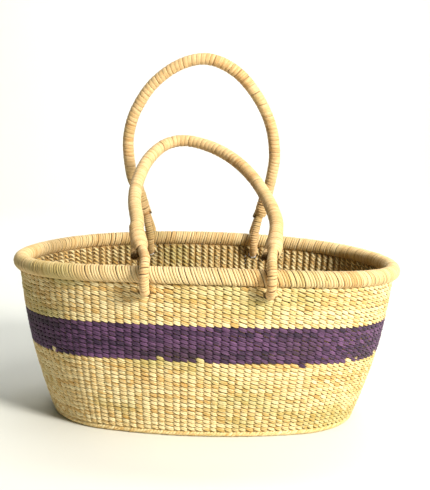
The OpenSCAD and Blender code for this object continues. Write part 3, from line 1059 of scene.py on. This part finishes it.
def wind_on(piece, name, own, toward, pitch, radius, seed, *nodes, **more):
    """Winds a strand along a route in a handle's own frame. toward is the own direction of angle 0."""
    zero, one = stood_up(name, [(0, 0, 0), toward])
    across = np.repeat((one - zero)[None], len(own), axis=0)
    mesh = winding(piece, stood_up(name, own), across, pitch, radius, seed, **more)
    shown(piece, mesh, f"{name}_handle", "handle_grass", *nodes)


# %% [markdown]
# A shank's turns are narrow at its ends, where the strand starts, and broad over the crown, where flat
# straws were used. The bundle inside is not quite round either, so its thickness drifts.

# %% Wind the shanks
def shank_pitch(share):
    """Width of one turn along a shank."""
    return (3.4 + 2.6 * np.clip(np.sin(math.pi * share) * 1.4, 0, 1)) * MM


for number, name in enumerate(("front", "back")):
    own = shank_route(name)

    def swell(share, k=number):
        return SHANK_R * (1 + 0.028 * np.sin(9 * share + 2 * k) + 0.02 * np.sin(23 * share + k))

    wind_on(f"{name}_shank_winding", name, own, (0, 1, 0), shank_pitch, swell, 110 + 10 * number,
            f"{name}_shank_wrap", hand=-1, loose=0.5, relief=0.4, slits=0.72)

# %% [markdown]
# ## Loops and forks
#
# A loop is one strand, wound finely: down one leg, under the rim, through the wall and up the other leg.
# The legs meet inside the splice, a broad winding that closes the fork.

# %% Wind the loops
LOOP_PITCH = 2.9 * MM


def loop_route(name, hand):
    """One loop in the handle's own frame: leg, most of a ring round the hinge line, leg."""
    k = 0 if hand == "left" else 1
    ring = np.linspace(EYE_FREE, 2 * math.pi - EYE_FREE, 30)
    foot = np.array([0, EYE_R * math.sin(EYE_FREE), EYE_R * math.cos(EYE_FREE)])
    reach = np.linspace(1, 0, 9)[:-1]
    up = np.array([math.tan(SPLAY[name][k]), -math.tan(math.pi / 2 - EYE_FREE), 1])
    leg = foot + reach[:, None] * (FORK_TOP - foot[2]) * up
    ring_points = np.stack([0 * ring, EYE_R * np.sin(ring), EYE_R * np.cos(ring)], -1)
    far = leg[::-1] * [1, -1, 1]
    return np.concatenate([leg, ring_points, far]) + [EYES[name][k], 0, 0]


for number, (name, hand) in enumerate(HANDS):
    wind_on(f"{name}_{hand}_loop_winding", name, loop_route(name, hand), (1, 0, 0), LOOP_PITCH, STRAND_R,
            200 + 10 * number, f"{name}_{hand}_eye", steps=14, loose=0.8, relief=2.0, slant=0.25, slits=1.35)

# %% Wind the splices
SPLICE_LOW = 36 * MM
SPLICE_END = 79 * MM
SPLICE_PITCH = 3.4 * MM
LEG_R = 6.3 * MM


def splice_shape(share):
    """Half width of a splice along X: thick over the fork, and slim where it meets the shank."""
    closing = soft_step(share, -0.05, 0.28)
    slimming = soft_step(share, 0.35, 1.0)
    return LEG_R + (SPLICE_R - LEG_R) * closing - (SPLICE_R - SHANK_R - 0.4 * MM) * slimming


def splice_wide(share):
    """How much wider a splice is from front to back: it holds both legs at its lower end."""
    return 1 + 0.48 * (1 - soft_step(share, 0.0, 0.4))


for number, (name, hand) in enumerate(HANDS):
    own = np.array([foot_point(name, hand, h) for h in np.linspace(SPLICE_LOW, SPLICE_END, 14)])
    wind_on(f"{name}_{hand}_splice_winding", name, own, (1, 0, 0), SPLICE_PITCH, splice_shape,
            300 + 10 * number, f"{name}_{hand}_splice", wide=splice_wide)

# %% [markdown]
# The ends of the bundle are cut off beside each leg. Each shows as a stub of thin rods of slightly
# different lengths under a few turns of winding. Its stalks end dark: the cut shows their hollow insides,
# and the rods are solid, so that dark is painted shade.

# %% Let the cut ends stand out
STUB_PITCH = 3.2 * MM
STUB = {
    ("front", "left"): (-7.5, 2.0, 29, 60, 5.4), ("front", "right"): (-9.5, 1.5, 33, 60, 5.4),
    ("back", "left"): (6.0, -2.0, 36, 62, 5.0), ("back", "right"): (-6.5, 1.5, 36, 62, 4.8),
}


def stub_line(name, hand, low, high, shift, slant):
    """Middle line of a stub: it starts beside the leg and leans into the shank."""
    heights_up = np.linspace(low, high, 6)
    line = np.array([foot_point(name, hand, h * MM) for h in heights_up])
    line[:, 0] += np.linspace(shift, 0.25 * shift, 6) * MM
    line[:, 1] -= SIDE[name] * slant * MM
    return line


for number, ((name, hand), (shift, slant, low, high, size)) in enumerate(STUB.items()):
    own = stub_line(name, hand, low, high, shift, slant)

    def closing(share, r=size):
        return (0.80 + 0.20 * soft_step(share, 0, 0.3)) * r * MM

    wind_on(f"{name}_{hand}_stub_winding", name, own, (1, 0, 0), STUB_PITCH, closing, 400 + 10 * number,
            steps=12, loose=0.8)
    draw = np.random.default_rng(450 + number)
    stalks = []
    for k in range(19):
        ring, angle = (0 if k == 0 else 1 if k < 7 else 2), 2.4 * k
        away = ring * 0.36 * size * MM
        line = own[:3] + [away * math.cos(angle), away * math.sin(angle), 0]
        line[0, 2] -= draw.uniform(-0.8, 1.2) * MM
        stalks.append({
            "points": stood_up(name, line),
            "tone": draw.uniform(0.1, 0.9),
            # Painted shade along each stalk, darkest at its cut end, where it stands for the hollow inside.
            "depth": np.array([0.95, 0.5, 0.4]),
            "start": 0.1 * k,
        })
    mesh = strands(f"{name}_{hand}_stub_stalks", stalks, rod(0.19 * size * MM), closed=False)
    shown(f"{name}_{hand}_stub_stalks", mesh, f"{name}_handle", "stake_grass")

# %% [markdown]
# ## Base and foot
#
# The base is twined like the wall, but it is flat and hardly seen, so three points for each stitch are
# enough. Its rows are smaller ovals of the same family.

# %% Twine the base
BASE_Z = 4.2 * MM
BASE_EDGE = FOOT_INSET + 5 * MM
BASE_OUT, BASE_UP = 1.3 * MM, 1.5 * MM
ROW = 5.3 * MM
BASE_ROWS = int((HALF_W - BASE_EDGE - 6 * MM) / ROW)
PER_STITCH = 3


def flat_row(number, inset, stitches):
    """Two strands round one oval of the base: they pass over and under the stakes that lie in it."""
    around = np.arange(stitches * PER_STITCH) / (stitches * PER_STITCH)
    t = around * STAKES
    routes = []
    for half in (0, 1):
        seed = 40000 + 10 * number + half
        turn = math.pi * (around * stitches + half)
        xy, _ = oval(t, inset - BASE_OUT * np.sin(turn))
        z = BASE_Z + BASE_UP * np.cos(turn) + 0.1 * MM * drift(t, seed, 10, 40)
        routes.append({
            "points": np.concatenate([xy, z[:, None]], -1),
            "width": 1 + 0.10 * drift(t, seed + 5000, 8, 50),
            "tilt": math.pi / 2,
            "tone": np.interp(t, np.arange(STAKES), drift(np.arange(STAKES), seed, 3, 20) * 0.35 + 0.45),
            # Painted shade half way between the strand's high and low points, where it dips between the
            # stakes.
            "depth": 0.6 * (1 - np.abs(np.cos(turn))),
            "start": 0.7 * number + half,
        })
    return routes


base_routes = []
for number in range(BASE_ROWS):
    inset = BASE_EDGE + (number + 0.5) * ROW
    share = 1 - (inset - BASE_EDGE) / (HALF_W - BASE_EDGE) * 0.55
    base_routes += flat_row(number, inset, 2 * int(round(STAKES * share / 2)))
base_mesh = strands("base_rows", base_routes, two_straws(2.2 * MM, 5.2 * MM))
shown("base_rows", base_mesh, "basket", "natural_grass", "base_weave")

# %% [markdown]
# The ovals end in a slim lens in the middle of the base. There the maker began, with a few straight rows of
# the same twist laid side by side.

# %% Fill the middle of the base
LENS_W = HALF_W - BASE_EDGE - BASE_ROWS * ROW + 2 * MM
LENS_L = end_x + LENS_W
START_ROW = 4.4 * MM
START_STITCH, POINT_GAP = 8.5 * MM, 1.6 * MM


def straight_row(number, y):
    """Two strands along X at one side of the middle line."""
    reach = LENS_L * math.sqrt(max(1 - abs(y) / LENS_W, 0.05))
    x = np.linspace(-reach, reach, int(reach * 2 / POINT_GAP))
    routes = []
    for half in (0, 1):
        turn = math.pi * (x / START_STITCH + half)
        routes.append({
            "points": np.stack([x, y - BASE_OUT * np.sin(turn), BASE_Z + BASE_UP * np.cos(turn)], -1),
            "tilt": math.pi / 2,
            "tone": 0.5 + 0.3 * np.sin(x * 41 + number),
            # Painted shade half way between the strand's high and low points, where it dips between its
            # neighbours.
            "depth": 0.6 * (1 - np.abs(np.cos(turn))),
            "start": 0.4 * number + half,
        })
    return routes


start_rows = int(2 * LENS_W / START_ROW)
row_places = [(k - (start_rows - 1) / 2) * START_ROW for k in range(start_rows)]
start_routes = [r for k, y in enumerate(row_places) for r in straight_row(k, y)]
start_mesh = strands("base_start_rows", start_routes, two_straws(2.2 * MM, 5.0 * MM), closed=False)
shown("base_start_rows", start_mesh, "basket", "natural_grass")

# %% [markdown]
# The corner between base and wall is a heavier twist of three strands, and the basket stands on it. Three
# even screws, a third of a turn apart, make that rope.

# %% Twist the foot row
FOOT_TURNS, FOOT_Z, FOOT_SWING = 96, 4.7 * MM, 2.0 * MM
FOOT_LINE = FOOT_INSET + 2.5 * MM
foot_t = np.arange(FOOT_TURNS * 8) / (FOOT_TURNS * 8) * STAKES
foot_routes = []
for strand_number in range(3):
    turn = 2 * math.pi * (foot_t / STAKES * FOOT_TURNS + strand_number / 3)
    xy, _ = oval(foot_t, FOOT_LINE - FOOT_SWING * np.cos(turn))
    foot_routes.append({
        "points": np.concatenate([xy, (FOOT_Z + FOOT_SWING * np.sin(turn))[:, None]], -1),
        "width": 1 + 0.08 * drift(foot_t, 60 + strand_number, 8, 50),
        "tone": 0.5 + 0.3 * drift(foot_t, 70 + strand_number, 3, 20),
        "depth": 0.2,
        "start": 0.9 * strand_number,
    })
foot_mesh = strands("foot_rope", foot_routes, rod(2.35 * MM, 10))
shown("foot_rope", foot_mesh, "basket", "natural_grass", "foot_row")
